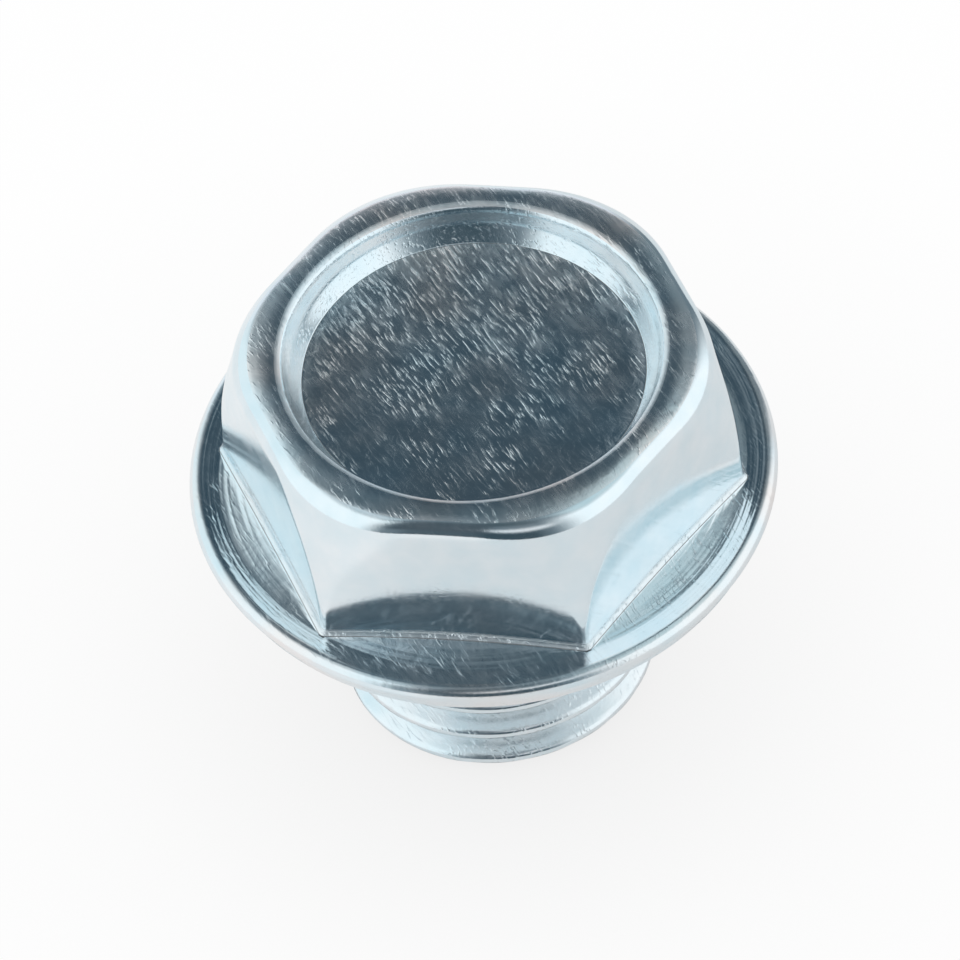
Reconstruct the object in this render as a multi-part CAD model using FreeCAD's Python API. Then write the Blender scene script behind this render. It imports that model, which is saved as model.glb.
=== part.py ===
import FreeCAD, Part
import math
import os

# Oil drain plug: one cold-headed piece of steel, M12 x 1.5, 17 mm across flats.
# Millimetres, +Z up, origin at the centre of the end face of the shank.
# Heights below are counted from the seating face under the flange: the head is
# above it and the shank below it. The finished plug is raised by the length of
# the shank. Two opposite sides of the hexagon face -Y and +Y.

# Hexagon
ACROSS_FLATS = 17.0
HEX_FOOT_Z = 1.35            # height of the flange under a hexagon corner
HEX_ROOT_Z = 0.70            # the hexagon starts inside the flange
HEAD_TOP_Z = 7.90
# Corner radius of the hexagon against height above the seat
CORNER_STATIONS = (
    (HEX_ROOT_Z, 0.28),
    (1.70, 0.32),
    (2.90, 0.55),
    (4.10, 1.20),
    (5.30, 2.50),
    (6.50, 4.60),
    (HEAD_TOP_Z, 6.90),
)
TOP_EDGE_ROUND = 0.80

# Dished recess in the top of the head
RECESS_FLOOR_Z = 6.48
RECESS_FLOOR_R = 6.39
RECESS_WALL_BULGE = 0.042    # hollow of the sloping wall
RECESS_LIP_R = 7.33          # where the level rim starts to turn down into the dish
RECESS_LIP_ROUND = 0.35
RECESS_LIP_TURN_DEG = 70.0   # the lip ends at this slope and the wall goes on from there

# Flange
FLANGE_R = 11.0
FLANGE_FOOT_SLOPE_DEG = 12.0 # the upper face falls from the hexagon to the foot circle
FLANGE_FOOT_R = 9.90         # circle round the hexagon corners
FLANGE_RIM_RISE = 0.06       # the band outside that circle rises a little to the rim
FLANGE_TOP_ROUND = 0.42
FLANGE_UNDER_ROUND = 0.22
FLANGE_UNDER_R = 10.62       # the side leans in toward the seat

# Shank
THREAD_MAJOR_R = 5.95        # over the crests of the M12 thread
NECK_R = 5.05                # thread relief under the flange
NECK_LENGTH = 1.50
NECK_FILLET = 0.95           # its foot on the seat clears the crests, as a washer does
NECK_RAMP_DEG = 45.0
SHANK_LENGTH = 10.0          # seat to end face
END_CHAMFER = 0.75           # 45 degree chamfer at the end

UP = FreeCAD.Vector(0, 0, 1)
CENTRE = FreeCAD.Vector(0, 0, 0)


def point(r, z):
    """Point of a profile in the XZ half plane."""
    return FreeCAD.Vector(r, 0, z)


def line(a, b):
    return Part.LineSegment(a, b).toShape()


def arc(a, middle, b):
    return Part.Arc(a, middle, b).toShape()


def arc_about(centre, radius, start_deg, end_deg):
    """Arc of a profile about (r, z), angles from +X toward +Z."""
    ends = []
    for deg in (start_deg, (start_deg + end_deg) / 2.0, end_deg):
        a = math.radians(deg)
        ends.append(point(centre[0] + radius * math.cos(a), centre[1] + radius * math.sin(a)))
    return arc(ends[0], ends[1], ends[2]), ends[0], ends[2]


def revolve(edges):
    """Solid of revolution about Z from the edges of a closed profile."""
    face = Part.Face(Part.Wire(edges))
    return face.revolve(CENTRE, UP, 360)


def hexagon_wire(corner_radius, z):
    """Closed hexagon with rounded corners, two sides square to Y."""
    apothem = ACROSS_FLATS / 2.0
    arc_centre_r = (apothem - corner_radius) / math.cos(math.radians(30))
    edges = []
    for k in range(6):
        mid = math.radians(60 * k)
        cx = arc_centre_r * math.cos(mid)
        cy = arc_centre_r * math.sin(mid)
        on_arc = []
        for off in (-30, 0, 30):
            a = math.radians(60 * k + off)
            x = cx + corner_radius * math.cos(a)
            y = cy + corner_radius * math.sin(a)
            on_arc.append(FreeCAD.Vector(x, y, z))
        edges.append((on_arc[0], on_arc[1], on_arc[2]))
    shapes = []
    for k in range(6):
        here = edges[k]
        following = edges[(k + 1) % 6]
        shapes.append(arc(here[0], here[1], here[2]))
        shapes.append(line(here[2], following[0]))
    return Part.Wire(shapes)


def hexagon():
    """Hexagon whose corners go from sharp at the flange to round at the top."""
    sections = [hexagon_wire(radius, z) for z, radius in CORNER_STATIONS]
    return Part.makeLoft(sections, True, False)


def round_top_edge(body):
    """Round the outer edge of the top face."""
    rim = []
    for edge in body.Edges:
        box = edge.BoundBox
        if box.ZMin > HEAD_TOP_Z - 0.01:
            rim.append(edge)
    return body.makeFillet(TOP_EDGE_ROUND, rim)


def recess_cutter():
    """Shallow dish with a flat floor, a hollow sloping wall and a rounded lip."""
    floor = point(RECESS_FLOOR_R, RECESS_FLOOR_Z)
    lip_centre = (RECESS_LIP_R, HEAD_TOP_Z - RECESS_LIP_ROUND)
    lip, lip_end, mouth = arc_about(lip_centre, RECESS_LIP_ROUND, 90, 90 + RECESS_LIP_TURN_DEG)
    run = mouth.x - floor.x
    rise = mouth.z - floor.z
    length = math.hypot(run, rise)
    middle = point(
        (floor.x + mouth.x) / 2.0 + RECESS_WALL_BULGE * rise / length,
        (floor.z + mouth.z) / 2.0 - RECESS_WALL_BULGE * run / length,
    )
    above = HEAD_TOP_Z + 1.0
    edges = [
        line(point(0, RECESS_FLOOR_Z), floor),
        arc(floor, middle, mouth),
        lip,
        line(lip_end, point(lip_end.x, above)),
        line(point(lip_end.x, above), point(0, above)),
        line(point(0, above), point(0, RECESS_FLOOR_Z)),
    ]
    return revolve(edges)


def flange():
    """Flange with a falling upper face, a rounded rim and a leaning side."""
    slope = math.radians(FLANGE_FOOT_SLOPE_DEG)
    foot = point(FLANGE_FOOT_R, HEX_FOOT_Z)
    apex = point(0, HEX_FOOT_Z + FLANGE_FOOT_R * math.tan(slope))
    rim_top = point(FLANGE_R - FLANGE_TOP_ROUND, HEX_FOOT_Z + FLANGE_RIM_RISE)
    top_centre = (rim_top.x, rim_top.z - FLANGE_TOP_ROUND)
    low_centre = (FLANGE_UNDER_R - FLANGE_UNDER_ROUND, FLANGE_UNDER_ROUND)
    # one straight side touches both roundings
    run = top_centre[0] - low_centre[0]
    rise = top_centre[1] - low_centre[1]
    span = math.hypot(run, rise)
    lean = math.atan2(run, rise) - math.asin((FLANGE_TOP_ROUND - FLANGE_UNDER_ROUND) / span)
    side_deg = -math.degrees(lean)
    top_arc, side_top, rim_end = arc_about(top_centre, FLANGE_TOP_ROUND, side_deg, 90)
    low_arc, under_end, side_low = arc_about(low_centre, FLANGE_UNDER_ROUND, -90, side_deg)
    edges = [
        line(point(0, 0), under_end),
        low_arc,
        line(side_low, side_top),
        top_arc,
        line(rim_end, foot),
        line(foot, apex),
        line(apex, point(0, 0)),
    ]
    return revolve(edges)


def shank():
    """Shank at the diameter over the thread crests, with neck and chamfer."""
    ramp = (THREAD_MAJOR_R - NECK_R) / math.tan(math.radians(NECK_RAMP_DEG))
    neck_end_z = -NECK_LENGTH
    end_r = THREAD_MAJOR_R - END_CHAMFER
    fillet, neck_top, under_flange = arc_about(
        (NECK_R + NECK_FILLET, -NECK_FILLET), NECK_FILLET, 180, 90)
    outline = [
        under_flange,
        point(under_flange.x, 0.3),
        point(0, 0.3),
        point(0, -SHANK_LENGTH),
        point(end_r, -SHANK_LENGTH),
        point(THREAD_MAJOR_R, -SHANK_LENGTH + END_CHAMFER),
        point(THREAD_MAJOR_R, neck_end_z - ramp),
        point(NECK_R, neck_end_z),
        neck_top,
    ]
    edges = [line(a, b) for a, b in zip(outline[:-1], outline[1:])]
    edges.append(fillet)
    return revolve(edges)


def drain_plug():
    head = round_top_edge(hexagon())
    body = head.fuse([flange(), shank()])
    body = body.cut(recess_cutter())
    return body.removeSplitter()


def main():
    os.makedirs("parts", exist_ok=True)
    plug = drain_plug()
    plug.translate(FreeCAD.Vector(0, 0, SHANK_LENGTH))
    if len(plug.Solids) != 1 or not plug.isValid():
        raise RuntimeError("the plug is not one valid solid")
    plug.Solids[0].exportStep("parts/drain_plug.step")


main()
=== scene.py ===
import bpy
import math
import numpy as np
from mathutils import Matrix

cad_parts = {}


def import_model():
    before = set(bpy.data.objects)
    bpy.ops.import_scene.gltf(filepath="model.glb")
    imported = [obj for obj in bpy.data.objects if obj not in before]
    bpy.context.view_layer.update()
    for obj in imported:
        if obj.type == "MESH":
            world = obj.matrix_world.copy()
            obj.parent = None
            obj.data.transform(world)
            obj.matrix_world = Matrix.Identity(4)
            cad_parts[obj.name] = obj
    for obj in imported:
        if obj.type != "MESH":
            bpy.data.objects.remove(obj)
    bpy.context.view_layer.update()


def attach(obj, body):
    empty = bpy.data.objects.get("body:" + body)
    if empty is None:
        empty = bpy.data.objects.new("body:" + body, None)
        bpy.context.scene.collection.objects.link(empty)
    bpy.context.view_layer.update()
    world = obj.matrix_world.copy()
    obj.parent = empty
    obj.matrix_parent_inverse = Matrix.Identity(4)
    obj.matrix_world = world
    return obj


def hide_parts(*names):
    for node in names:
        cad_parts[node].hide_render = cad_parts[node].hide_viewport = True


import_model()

scene = bpy.context.scene

# Shape of the plug in millimetres. Heights are counted from the seating face under
# the flange, which lies SEAT above the origin of the row frame.
SEAT = 10.0
MM = 0.001

# Hexagon: its corner radius grows from the flange to the top
AF = 17.0
FOOT_Z = 1.35
TOP_Z = 7.90
STATIONS_Z = (0.70, 1.70, 2.90, 4.10, 5.30, 6.50, 7.90)
STATIONS_R = (0.28, 0.32, 0.55, 1.20, 2.50, 4.60, 6.90)
TOP_ROUND = 0.80

# Dish in the top: floor, wall, lip and crowned rim
FLOOR_Z, FLOOR_R = 6.48, 6.39
FLOOR_BLEND = 0.75                   # width over which the floor turns up to its edge
FLOOR_EDGE_RISE = 0.060
WALL_SLOPE = math.radians(53.0)      # of the lower part of the wall
WALL_KNEE = 0.10                     # softness of the knee where it steepens
LIP_R, LIP = 7.33, 0.35
LIP_TURN = math.radians(74.0)        # slope of the upper part, at which the lip ends
LIP_WORN = math.radians(40.0)        # the lip is duller where it is flatter than this
CROWN_IN = math.radians(4.0)         # slope of the crowned rim at its inner edge
CROWN_OUT = math.radians(16.0)       # and at its outer edge
RIM_END = math.radians(30.0)         # the finish of the rim reaches to this slope

# Flange
FL_R, FOOT_R = 11.0, 9.90
FOOT_SLOPE = math.radians(12.0)
FOOT_FILLET = 0.24                   # hollow between the hexagon and the flange
CREASE_SOFT = 0.30                   # the crease is a small curve, not a corner
RIM_RISE, FL_TOP_ROUND = 0.06, 0.42
FL_UNDER_ROUND, FL_UNDER_R = 0.22, 10.62
SEAM = 0.025                         # width of a strip painted dark where two faces meet in a corner: painted shade in the crease, with some dirt

# Shank with the thread M12 x 1.5
MAJOR_R, MINOR_R, PITCH = 5.95, 5.03, 1.50
FLANK = math.radians(30.0)
CREST_SHARE = 1 / 13.0               # half the flat of a crest, in pitches
THREAD_REF = -8.73                   # height of a crest at azimuth 0
ROOT_SOFT, CREST_SOFT = 0.070, 0.035
RUN_OUT_SOFT = 0.030                 # where the thread fades into the neck and the chamfer
THREAD_ROWS = 108
NECK_R, NECK_L, NECK_FILLET = 5.05, 1.50, 0.95
LENGTH, CHAMFER = 10.0, 0.75

SECTOR = 60                          # columns in each sixth of a turn
COLS = 6 * SECTOR


def corner_radius(z):
    """Corner radius of the hexagon at height z, a smooth monotone curve."""
    z = np.asarray(z, float)
    zs, rs = np.array(STATIONS_Z), np.array(STATIONS_R)
    h = np.diff(zs)
    d = np.diff(rs) / h
    m = np.zeros(len(zs))
    m[0], m[-1] = d[0], d[-1]
    for i in range(1, len(zs) - 1):
        w1, w2 = 2 * h[i] + h[i - 1], h[i] + 2 * h[i - 1]
        m[i] = (w1 + w2) / (w1 / d[i - 1] + w2 / d[i])
    i = np.clip(np.searchsorted(zs, z) - 1, 0, len(zs) - 2)
    t = np.clip((z - zs[i]) / h[i], 0, 1)
    return ((2 * t**3 - 3 * t**2 + 1) * rs[i] + (t**3 - 2 * t**2 + t) * h[i] * m[i]
            + (-2 * t**3 + 3 * t**2) * rs[i + 1] + (t**3 - t**2) * h[i] * m[i + 1])


def hex_r(theta, apothem, rho):
    """Radius of a rounded hexagon in direction theta, with corners at 0, 60, ... degrees."""
    a = np.abs(np.mod(theta + math.pi / 6, math.pi / 3) - math.pi / 6)
    c = (apothem - rho) / math.cos(math.pi / 6)
    flat = apothem / np.cos(math.pi / 6 - a)
    arc = c * np.cos(a) + np.sqrt(np.clip(rho**2 - (c * np.sin(a))**2, 0, None))
    a_end = np.arctan2(rho * 0.5, c + rho * math.cos(math.pi / 6))
    return np.where(a <= a_end, arc, flat)


def softmin(a, b, k):
    return 0.5 * (a + b - np.sqrt((a - b)**2 + k * k))


def softmax(a, b, k):
    return 0.5 * (a + b + np.sqrt((a - b)**2 + k * k))


def thread_r(theta, z):
    """Radius of the right-hand thread at angle theta and height z."""
    phase = (z - THREAD_REF) / PITCH - theta / (2 * math.pi)
    away = np.abs(phase - np.round(phase))
    flank = MAJOR_R - (away - CREST_SHARE) * PITCH / math.tan(FLANK)
    groove = softmax(flank, np.full_like(flank, MINOR_R), ROOT_SOFT)
    return softmin(np.full_like(flank, MAJOR_R), groove, CREST_SOFT)


def column_angles():
    """Two sets of column angles: dense at the corners of the hexagon, and evenly spaced."""
    u = np.arange(SECTOR) / SECTOR * 2 - 1
    near = 30.0 * (0.28 * u + 0.72 * u**3)
    biased = np.concatenate([60.0 * k + near for k in range(6)])
    even = np.arange(COLS) * 360.0 / COLS - 30.0
    return np.radians(biased), np.radians(even)


class Rings:
    """The surface as rings of points, from the middle of the dish over the rim and
    the flange to the middle of the end face."""

    def __init__(self):
        self.angles, self.even = column_angles()
        self.rows = []

    def add(self, region, r, z, angles=None):
        one = np.ones(COLS)
        chosen = self.angles if angles is None else angles
        self.rows.append((region, chosen, r * one, z * one))

    def add_on_arc(self, region, centre, radius, a):
        """Ring on an arc about centre, a pair (r, z), at angle a from outward toward up."""
        self.add(region, centre[0] + radius * math.cos(a), centre[1] + radius * math.sin(a))

    def last(self):
        return self.rows[-1][2], self.rows[-1][3]


def dish_rings(rings):
    """Floor that turns up a little to its edge, a seam painted dark as shade in the crease, and a wall
    in two slopes.
    """
    blend = FLOOR_R - FLOOR_BLEND
    for share in (0.12, 0.3, 0.5, 0.68, 0.84, 0.95):
        rings.add("dish", blend * share, FLOOR_Z)
    for t in np.linspace(0.0, 1.0, 8):
        r = blend + (FLOOR_BLEND - SEAM) * t
        rings.add("dish", r, FLOOR_Z + FLOOR_EDGE_RISE * t**2)
    # this ring is painted dark as shade in the crease where the floor meets the wall
    rings.add("seam", FLOOR_R, FLOOR_Z + FLOOR_EDGE_RISE)
    top_r = LIP_R - LIP * math.sin(LIP_TURN)
    top_z = TOP_Z - LIP * (1 - math.cos(LIP_TURN))
    foot_z = FLOOR_Z + FLOOR_EDGE_RISE
    # the rows lie closer together toward the steep upper part
    for t in np.linspace(0.03, 0.97, 16):
        across = (top_r - FLOOR_R) * (1 - (1 - t)**1.4)
        lower = foot_z + across * math.tan(WALL_SLOPE)
        upper = top_z - (top_r - FLOOR_R - across) * math.tan(LIP_TURN)
        rings.add("wall", FLOOR_R + across, softmax(lower, upper, WALL_KNEE))


def rim_rings(rings):
    """Rounded lip, crowned rim and the rolled outer edge of the head."""
    for a in np.linspace(LIP_TURN, CROWN_IN, 14):
        region = "wall" if a > LIP_WORN else "lip"
        rings.add(region, LIP_R - LIP * math.sin(a), TOP_Z - LIP * (1 - math.cos(a)))
    inner_r, inner_z = rings.last()
    start = hex_r(rings.angles, AF / 2 - TOP_ROUND, corner_radius(TOP_Z) - TOP_ROUND)
    width = start + TOP_ROUND * math.sin(CROWN_OUT) - inner_r
    rise, fall = math.tan(CROWN_IN), math.tan(CROWN_OUT)
    for t in (0.1, 0.2, 0.3, 0.4, 0.5, 0.6, 0.7, 0.8, 0.9):
        rings.add("rim", inner_r + width * t, inner_z + width * (rise * t - (rise + fall) * t**2 / 2))
    outer_z = inner_z + width * (rise - fall) / 2
    # the drop that the crown leaves at the edge fades out down the rounding
    drop = TOP_Z - TOP_ROUND * (1 - math.cos(CROWN_OUT)) - outer_z
    for a in np.linspace(CROWN_OUT, math.pi / 2, 16):
        z = TOP_Z - TOP_ROUND * (1 - math.cos(a)) - drop * math.cos(a) / math.cos(CROWN_OUT)
        inset = TOP_ROUND * (1 - math.sin(a))
        region = "rim" if a < RIM_END else "side"
        rings.add(region, hex_r(rings.angles, AF / 2 - inset, corner_radius(z) - inset), z)


def side_rings(rings):
    """Flats and corners of the hexagon, down to a seam on the flange painted dark as shade in the
    crease.
    """
    foot_r = hex_r(rings.angles, AF / 2, corner_radius(FOOT_Z))
    foot_z = FOOT_Z + (FOOT_R - foot_r) * math.tan(FOOT_SLOPE)
    top = TOP_Z - TOP_ROUND
    for t in np.linspace(0.04, 1, 26):
        z = top + (foot_z + FOOT_FILLET - top) * t
        rings.add("side", hex_r(rings.angles, AF / 2, corner_radius(z)), z)
    for a in (0.4, 0.8, 1.2):
        out, up = FOOT_FILLET * (1 - math.cos(a)), FOOT_FILLET * (1 - math.sin(a))
        rings.add("foot", foot_r + out, foot_z + up)
    edge_r, edge_z = rings.last()
    # this ring is painted dark as shade in the crease at the foot of the hexagon
    rings.add("seam", edge_r + SEAM, edge_z - SEAM)


def flange_height(r):
    """Upper face of the flange: it falls to the foot circle and then rises a little."""
    falling = FOOT_Z + (FOOT_R - r) * math.tan(FOOT_SLOPE)
    rising = FOOT_Z + (r - FOOT_R) / (FL_R - FL_TOP_ROUND - FOOT_R) * RIM_RISE
    return softmax(falling, rising, CREASE_SOFT * math.tan(FOOT_SLOPE) / 2)


def flange_rings(rings):
    """Upper face of the flange, rounded rim, leaning side and seating face."""
    rim_r = FL_R - FL_TOP_ROUND
    inner_r, inner_z = rings.last()
    inner_height = flange_height(inner_r)
    # the first rows go from the seam over to the face of the flange
    for t in (0.06, 0.16, 0.28, 0.4, 0.52, 0.64, 0.76, 0.88, 1.0):
        r = inner_r + (FOOT_R - inner_r) * t
        settle = min(1.0, t / 0.28)
        rings.add("flange", r, flange_height(r) + (inner_z - inner_height) * (1 - settle))
    for t in (0.12, 0.25, 0.4, 0.55, 0.7, 0.85, 0.95):
        r = FOOT_R + (rim_r - FOOT_R) * t
        rings.add("flange", r, flange_height(np.full(COLS, r)))
    top_c = (rim_r, FOOT_Z + RIM_RISE - FL_TOP_ROUND)
    low_c = (FL_UNDER_R - FL_UNDER_ROUND, FL_UNDER_ROUND)
    span = math.hypot(top_c[0] - low_c[0], top_c[1] - low_c[1])
    lean = (math.atan2(top_c[0] - low_c[0], top_c[1] - low_c[1])
            - math.asin((FL_TOP_ROUND - FL_UNDER_ROUND) / span))
    for a in np.linspace(math.pi / 2, -lean, 14):
        rings.add_on_arc("edge", top_c, FL_TOP_ROUND, a)
    upper_r, upper_z = rings.last()
    lower_r = low_c[0] + FL_UNDER_ROUND * math.cos(-lean)
    lower_z = low_c[1] + FL_UNDER_ROUND * math.sin(-lean)
    for t in (0.25, 0.5, 0.75):
        rings.add("edge", upper_r + (lower_r - upper_r) * t, upper_z + (lower_z - upper_z) * t)
    for a in np.linspace(-lean, -math.pi / 2, 7):
        rings.add_on_arc("edge", low_c, FL_UNDER_ROUND, a)
    # the columns go over to even spacing on the seating face
    outer, inner = low_c[0], NECK_R + NECK_FILLET
    for t in (0.12, 0.3, 0.45, 0.6, 0.75, 0.9):
        shift = (rings.even - rings.angles) * t / 0.9
        rings.add("seat", outer + (inner - outer) * t, 0.0, rings.angles + shift)


def shank_rings(rings):
    """Neck fillet, neck, thread with its run-out and chamfer, and end face."""
    for a in np.linspace(0, math.pi / 2, 9):
        rings.add("seat", NECK_R + NECK_FILLET * (1 - math.sin(a)),
                  -NECK_FILLET * (1 - math.cos(a)), rings.even)
    for t in (0.35, 0.7, 1.0):
        rings.add("shank", NECK_R, -NECK_FILLET - (NECK_L - NECK_FILLET) * t, rings.even)
    chamfer_top = -LENGTH + CHAMFER
    for z in np.linspace(-NECK_L - 0.07, -LENGTH + 0.02, THREAD_ROWS):
        # the neck's ramp and the chamfer both lie at 45 degrees
        cover = min(NECK_R - NECK_L - z, MAJOR_R + z - chamfer_top, MAJOR_R)
        r = softmin(thread_r(rings.even, np.full(COLS, z)), np.full(COLS, cover), RUN_OUT_SOFT)
        rings.add("shank", r, z, rings.even)
    for share in (0.975, 0.9, 0.7, 0.4, 0.15):
        rings.add("end", (MAJOR_R - CHAMFER) * share, -LENGTH, rings.even)


def make_plug():
    """One closed mesh whose faces carry the number of their region."""
    rings = Rings()
    for part in (dish_rings, rim_rings, side_rings, flange_rings, shank_rings):
        part(rings)
    rows = rings.rows
    count = len(rows)
    points = [(r * np.cos(a), r * np.sin(a), z + SEAT) for _, a, r, z in rows]
    verts = np.concatenate([np.stack(p, axis=1) for p in points])
    verts = np.concatenate([verts, [(0, 0, FLOOR_Z + SEAT), (0, 0, 0)]]) * MM
    regions = list(FINISHES)
    faces, numbers = [], []
    for j in range(COLS):
        k = (j + 1) % COLS
        faces.append((count * COLS, j, k))
        numbers.append(regions.index(rows[0][0]))
        for i in range(count - 1):
            a, b = i * COLS, (i + 1) * COLS
            faces.append((a + j, b + j, b + k, a + k))
            numbers.append(regions.index(rows[i + 1][0]))
        a = (count - 1) * COLS
        faces.append((a + j, count * COLS + 1, a + k))
        numbers.append(regions.index(rows[-1][0]))
    mesh = bpy.data.meshes.new("plug_body")
    mesh.from_pydata(verts.tolist(), [], faces)
    for region in regions:
        mesh.materials.append(plated("zinc_" + region, *FINISHES[region]))
    mesh.polygons.foreach_set("use_smooth", [True] * len(faces))
    mesh.polygons.foreach_set("material_index", numbers)
    mesh.update()
    plug = bpy.data.objects.new("plug_body", mesh)
    scene.collection.objects.link(plug)
    return plug


class Graph:
    """Adds nodes to a material or a world, with their inputs given by name."""

    def __init__(self, owner):
        owner.use_nodes = True
        self.tree = owner.node_tree
        self.tree.nodes.clear()

    def put(self, socket, value):
        if isinstance(value, bpy.types.NodeSocket):
            self.tree.links.new(value, socket)
        else:
            socket.default_value = value

    def node(self, kind, inputs=None, **settings):
        new = self.tree.nodes.new("ShaderNode" + kind)
        for name, value in settings.items():
            setattr(new, name, value)
        for name, value in (inputs or {}).items():
            self.put(new.inputs[name], value)
        return new

    def math(self, operation, *values):
        new = self.node("Math", operation=operation)
        for socket, value in zip(new.inputs, values):
            self.put(socket, value)
        return new.outputs[0]

    def fit(self, value, low, high, to_low, to_high, smooth=False):
        kind = "SMOOTHSTEP" if smooth else "LINEAR"
        new = self.node("MapRange", {
            "Value": value, "From Min": low, "From Max": high,
            "To Min": to_low, "To Max": to_high}, interpolation_type=kind)
        return new.outputs["Result"]

    def noise(self, vector, scale, detail=2.0, distortion=0.0):
        new = self.node("TexNoise", {
            "Vector": vector, "Scale": scale, "Detail": detail, "Distortion": distortion})
        return new.outputs["Fac"]


# Marks on the plate: short strokes that all lie one way, in millimetres
STROKE_AZIMUTH = math.radians(-51.7)
STROKE_LENGTH, STROKE_WIDTH = 0.70, 0.120
STROKE_WANDER = 0.22
WORN_SIDE = math.radians(101.3)      # the strokes are denser toward this azimuth

# Fineness of the noises, in cells to the metre, and the relief of the grain in millimetres
SWIRL, WEAR, DENT, PATCH, GRAIN, WARMER = 420.0, 700.0, 1300.0, 850.0, 3600.0, 260.0
LATHE_ACROSS, LATHE_ALONG = 5200.0, 90.0
GRAIN_RELIEF = 0.0006

# Values of its noise between which each mark grows from nothing to its full strength
WEAR_SPAN, STROKE_SPAN, DULL_SPAN = (0.38, 0.64), (0.50, 0.80), (0.32, 0.68)
PALE_SPAN, WARM_SPAN = (0.30, 0.70), (0.35, 0.70)
LEAST_WEAR = 0.10

# Finish of each region: roughness from smooth to dull patches, height of the
# strokes, of the dents and of the lathe rings in millimetres, warmth, and how much
# more the worn side is marked.
FINISHES = {
    "dish": (0.15, 0.31, 0.027, 0.045, 0.000, 0.9, 0.13),
    "seam": (0.50, 0.60, 0.000, 0.000, 0.000, 0.0, 0.00),
    "wall": (0.12, 0.18, 0.008, 0.002, 0.000, 0.0, 0.13),
    "lip": (0.34, 0.48, 0.020, 0.010, 0.000, 1.0, 0.04),
    "rim": (0.20, 0.31, 0.014, 0.012, 0.000, 1.0, 0.04),
    "side": (0.09, 0.15, 0.001, 0.001, 0.000, 0.2, 0.00),
    "foot": (0.20, 0.32, 0.022, 0.006, 0.000, 0.4, -0.15),
    "flange": (0.13, 0.21, 0.009, 0.013, 0.022, 0.2, 0.00),
    "edge": (0.16, 0.26, 0.005, 0.008, 0.003, 0.9, 0.00),
    "seat": (0.16, 0.30, 0.002, 0.006, 0.010, 0.1, 0.00),
    "shank": (0.17, 0.27, 0.012, 0.005, 0.002, 0.3, 0.00),
    "end": (0.18, 0.32, 0.004, 0.010, 0.010, 0.1, 0.00),
}
BLUE_WHITE, PALE = (0.74, 0.85, 0.90, 1), (0.84, 0.905, 0.94, 1)
WARM = (0.92, 0.84, 0.81, 1)
# darker grey of the seam strips: painted shade in the creases, with some dirt
SEAM_SHADE_COLOUR = (0.36, 0.37, 0.38, 1)


def plated(name, smooth, dull, strokes, dents, lathe, warmth, lean):
    """Bright zinc plate, passivated blue-white, with the marks of its handling."""
    mat = bpy.data.materials.new(name)
    g = Graph(mat)
    place = g.node("TexCoord").outputs["Object"]
    swirl = g.node("TexNoise", {"Vector": place, "Scale": SWIRL, "Detail": 1.0})
    wander = g.node("VectorMath", operation="MULTIPLY_ADD")
    for socket, value in zip(wander.inputs, (swirl.outputs["Color"], (STROKE_WANDER * MM,) * 3, place)):
        g.put(socket, value)
    along = g.node("Mapping", {
        "Vector": wander.outputs["Vector"], "Rotation": (0, 0, STROKE_AZIMUTH),
        "Scale": (STROKE_LENGTH * MM, STROKE_WIDTH * MM, STROKE_WIDTH * MM)}, vector_type="TEXTURE")
    stroke_noise = g.noise(along.outputs["Vector"], 1.0, 2.0, 0.4)
    side = g.node("VectorMath", operation="DOT_PRODUCT")
    g.put(side.inputs[0], place)
    g.put(side.inputs[1], (math.cos(WORN_SIDE), math.sin(WORN_SIDE), 0.0))
    more = g.fit(side.outputs["Value"], -FLOOR_R * MM, FLOOR_R * MM, -lean, lean)
    wear = g.math("ADD", g.noise(place, WEAR, 3.0), more)
    worn = g.fit(wear, *WEAR_SPAN, LEAST_WEAR, 1.0, smooth=True)
    stroke = g.math("MULTIPLY", g.fit(stroke_noise, *STROKE_SPAN, 0.0, 1.0, smooth=True), worn)
    dent = g.noise(place, DENT, 3.0, 0.6)
    patch = g.noise(place, PATCH, 4.0)
    grain = g.noise(place, GRAIN, 2.0)
    # colour
    tint = g.node("Mix", {"Factor": g.fit(patch, *PALE_SPAN, 0.0, 1.0), "A": BLUE_WHITE, "B": PALE},
                  data_type="RGBA")
    warm_patch = g.fit(g.noise(place, WARMER, 2.0), *WARM_SPAN, 0.0, warmth)
    colour = g.node("Mix", {"Factor": warm_patch, "A": tint.outputs["Result"], "B": WARM},
                    data_type="RGBA")
    # dullness: cloudy patches crossed by the strokes, more of it on the worn side
    cloud = g.math("MULTIPLY_ADD", stroke_noise, 0.5, g.math("MULTIPLY", patch, 0.5))
    cloud = g.math("ADD", cloud, more)
    rough = g.fit(cloud, *DULL_SPAN, smooth, dull, smooth=True)
    # relief in millimetres
    parts = g.node("SeparateXYZ", {"Vector": place})
    radius = g.math("SQRT", g.math("ADD", g.math("POWER", parts.outputs[0], 2.0),
                                   g.math("POWER", parts.outputs[1], 2.0)))
    ring_place = g.node("CombineXYZ", {"X": g.math("MULTIPLY", radius, LATHE_ACROSS),
                                       "Y": g.math("MULTIPLY", parts.outputs[0], LATHE_ALONG),
                                       "Z": g.math("MULTIPLY", parts.outputs[1], LATHE_ALONG)})
    ring = g.noise(ring_place.outputs["Vector"], 1.0, 1.0)
    relief = g.math("MULTIPLY", stroke, strokes)
    relief = g.math("ADD", relief, g.math("MULTIPLY", dent, dents))
    relief = g.math("ADD", relief, g.math("MULTIPLY", ring, lathe))
    relief = g.math("ADD", relief, g.math("MULTIPLY", grain, GRAIN_RELIEF))
    bump = g.node("Bump", {"Strength": 1.0, "Distance": MM, "Height": relief})
    shader = g.node("BsdfPrincipled", {
        # the seam material gets the darker grey, painted shade in the crease
        "Base Color": SEAM_SHADE_COLOUR if name == "zinc_seam" else colour.outputs["Result"],
        "Metallic": 1.0, "Roughness": rough, "Normal": bump.outputs["Normal"]})
    g.node("OutputMaterial", {"Surface": shader.outputs["BSDF"]})
    return mat


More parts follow.
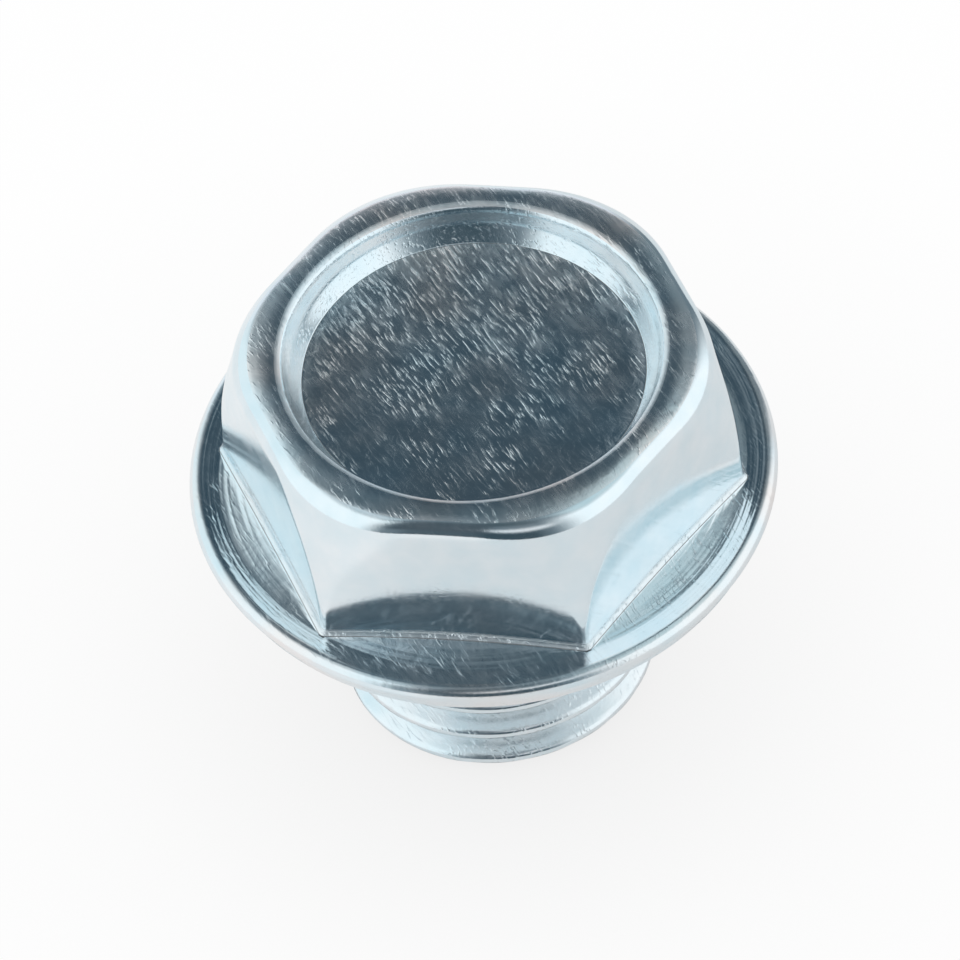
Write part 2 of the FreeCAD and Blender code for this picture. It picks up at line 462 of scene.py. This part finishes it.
# Camera fitted to the photograph, which is PICTURE pixels wide and high: focal length
# in pixels, distance from the flange in millimetres, and elevation
PICTURE = 960
CAM_F, CAM_D, CAM_EL = 10425.2, 388.77, math.radians(50.205)
CAM_TURN = (math.radians(0.088), math.radians(0.024), math.radians(-5.629))  # about its own axes
HEX_TURN = math.radians(11.279)      # how far the camera stands round the plug from -Y
SENSOR = 36.0


def turn(angle, axis):
    """Rotation matrix about axis 0, 1 or 2."""
    c, s = math.cos(angle), math.sin(angle)
    if axis == 0:
        return np.array([[1, 0, 0], [0, c, -s], [0, s, c]])
    if axis == 1:
        return np.array([[c, 0, s], [0, 1, 0], [-s, 0, c]])
    return np.array([[c, -s, 0], [s, c, 0], [0, 0, 1]])


def place_camera():
    place = np.array([0.0, -math.cos(CAM_EL) * CAM_D, math.sin(CAM_EL) * CAM_D])
    ahead = -place / CAM_D
    right = np.array([1.0, 0.0, 0.0])
    up = np.cross(right, ahead)
    rows = np.stack([right, -up, ahead])
    rows = turn(CAM_TURN[2], 2) @ turn(CAM_TURN[1], 1) @ turn(CAM_TURN[0], 0) @ rows
    spin = turn(HEX_TURN, 2)
    place = spin @ place + np.array([0, 0, SEAT + FOOT_Z])
    matrix = Matrix.Identity(4)
    for column, axis in enumerate((spin @ rows[0], spin @ -rows[1], spin @ -rows[2], place * MM)):
        for row in range(3):
            matrix[row][column] = axis[row]
    data = bpy.data.cameras.new("camera")
    data.sensor_width = SENSOR
    data.lens = CAM_F / PICTURE * SENSOR
    data.clip_start = 0.01
    data.clip_end = 20.0
    camera = bpy.data.objects.new("camera", data)
    camera.matrix_world = matrix
    scene.collection.objects.link(camera)
    scene.camera = camera


FLOOR_HALF = 3.0
FLOOR_WHITE = 0.99                   # share of plain white that the camera sees in the floor
FLOOR_MIRRORED = 0.56                # and that the metal shows of it
FLOOR_LIGHT_POOL = 0.85                  # painted pool of light on the floor on the side of the bright left box, as the metal shows it
POOL_FROM, POOL_TO = -0.002, -0.010  # X in metres where the painted pool of light starts to brighten the floor and where that ends
FLOOR_SHADE = 0.20                   # depth of the soft shadow under the plug
SHADE_REACH = 0.024                  # metres over which the plug shades the floor


def floor():
    """Pale floor, seen white, that keeps a faint shadow."""
    h = FLOOR_HALF
    mesh = bpy.data.meshes.new("floor")
    mesh.from_pydata([(-h, -h, 0), (h, -h, 0), (h, h, 0), (-h, h, 0)], [], [(0, 1, 2, 3)])
    mat = bpy.data.materials.new("floor")
    g = Graph(mat)
    path = g.node("LightPath")
    across = g.node("SeparateXYZ", {"Vector": g.node("TexCoord").outputs["Object"]}).outputs[0]
    # floor as the metal shows it: plain, with a painted pool of light toward the left box
    mirrored = g.fit(across, POOL_TO, POOL_FROM, FLOOR_LIGHT_POOL, FLOOR_MIRRORED, smooth=True)
    seen = g.math("MAXIMUM", g.math("MULTIPLY", path.outputs["Is Camera Ray"], FLOOR_WHITE),
                  g.math("MULTIPLY", path.outputs["Is Glossy Ray"], mirrored))
    matt = g.node("BsdfDiffuse", {"Color": (0.90, 0.91, 0.91, 1)})
    open_sky = g.node("AmbientOcclusion", {"Distance": SHADE_REACH}, samples=6).outputs["AO"]
    white = g.node("Emission", {"Strength": g.fit(open_sky, 0.0, 1.0, 1 - FLOOR_SHADE, 1.0)})
    mix = g.node("MixShader", {"Fac": seen})
    g.put(mix.inputs[1], matt.outputs["BSDF"])
    g.put(mix.inputs[2], white.outputs["Emission"])
    g.node("OutputMaterial", {"Surface": mix.outputs["Shader"]})
    mesh.materials.append(mat)
    obj = bpy.data.objects.new("floor", mesh)
    scene.collection.objects.link(obj)


# Soft boxes and dark screens round the object, laid over one another in this order.
# Azimuth is counted from the right of the picture toward its back, in degrees.
# name, azimuth, elevation, half width, half height, softness, colour
STUDIO_GREY = (0.170, 0.215, 0.245, 1)
SCREENS = (
    ("left_box", -168, 20, 38, 40, 8, (1.00, 1.07, 1.09)),
    ("left_top", -172, 67, 32, 6, 6, (0.62, 0.70, 0.74)),
    ("right_box", -7, 22, 49, 38, 12, (1.03, 1.09, 1.11)),
    ("right_top", 12, 65, 52, 10, 8, (0.58, 0.72, 0.76)),
    ("right_back", 76, 26, 12, 22, 9, (0.20, 0.25, 0.27)),
    ("back_low", 98, 4, 27, 13, 5, (0.86, 0.87, 0.92)),
    ("back_left", 142, 21, 22, 31, 10, (0.86, 0.97, 1.00)),
    ("back_mid", 86, 45, 15, 19, 8, (0.045, 0.075, 0.100)),
    ("back_top", 98, 69, 38, 10, 6, (0.060, 0.095, 0.120)),
    ("front_low", -92, 16, 20, 18, 8, (0.050, 0.080, 0.100)),
    ("front_top", -92, 74, 30, 9, 6, (0.085, 0.120, 0.140)),
    ("front_left", -114, 50, 12, 25, 8, (0.075, 0.100, 0.120)),
    ("front_box", -82, 44, 20, 6, 7, (0.84, 0.86, 0.88)),
)


def world():
    """Grey studio with the screens round it, white where the camera sees it."""
    studio = bpy.data.worlds.new("studio")
    scene.world = studio
    g = Graph(studio)
    direction = g.node("TexCoord").outputs["Generated"]
    rise = g.node("SeparateXYZ", {"Vector": direction}).outputs[2]
    height = g.math("DEGREES", g.math("ARCSINE", rise))

    def inside(value, half, soft):
        return g.fit(g.math("ABSOLUTE", value), half - soft, half + soft, 1.0, 0.0, smooth=True)

    colour = STUDIO_GREY
    for name, azimuth, elevation, half_w, half_h, soft, rgb in SCREENS:
        facing = g.node("VectorRotate", {
            "Vector": direction, "Angle": -HEX_TURN - math.radians(azimuth)}, rotation_type="Z_AXIS")
        parts = g.node("SeparateXYZ", {"Vector": facing.outputs["Vector"]}).outputs
        across = g.math("DEGREES", g.math("ARCTAN2", parts[1], parts[0]))
        mask = g.math("MULTIPLY", inside(across, half_w, soft),
                      inside(g.math("SUBTRACT", height, elevation), half_h, soft))
        layer = g.node("Mix", {"Factor": mask, "A": colour, "B": rgb + (1,)},
                       data_type="RGBA", name=name)
        colour = layer.outputs["Result"]
    lit = g.node("Background", {"Color": colour})
    white = g.node("Background", {"Color": (1, 1, 1, 1)})
    mix = g.node("MixShader", {"Fac": g.node("LightPath").outputs["Is Camera Ray"]})
    g.put(mix.inputs[1], lit.outputs["Background"])
    g.put(mix.inputs[2], white.outputs["Background"])
    g.node("OutputWorld", {"Surface": mix.outputs["Shader"]})


plug = make_plug()
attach(plug, "root")
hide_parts("drain_plug")
place_camera()
floor()
world()
scene.view_settings.view_transform = "Standard"
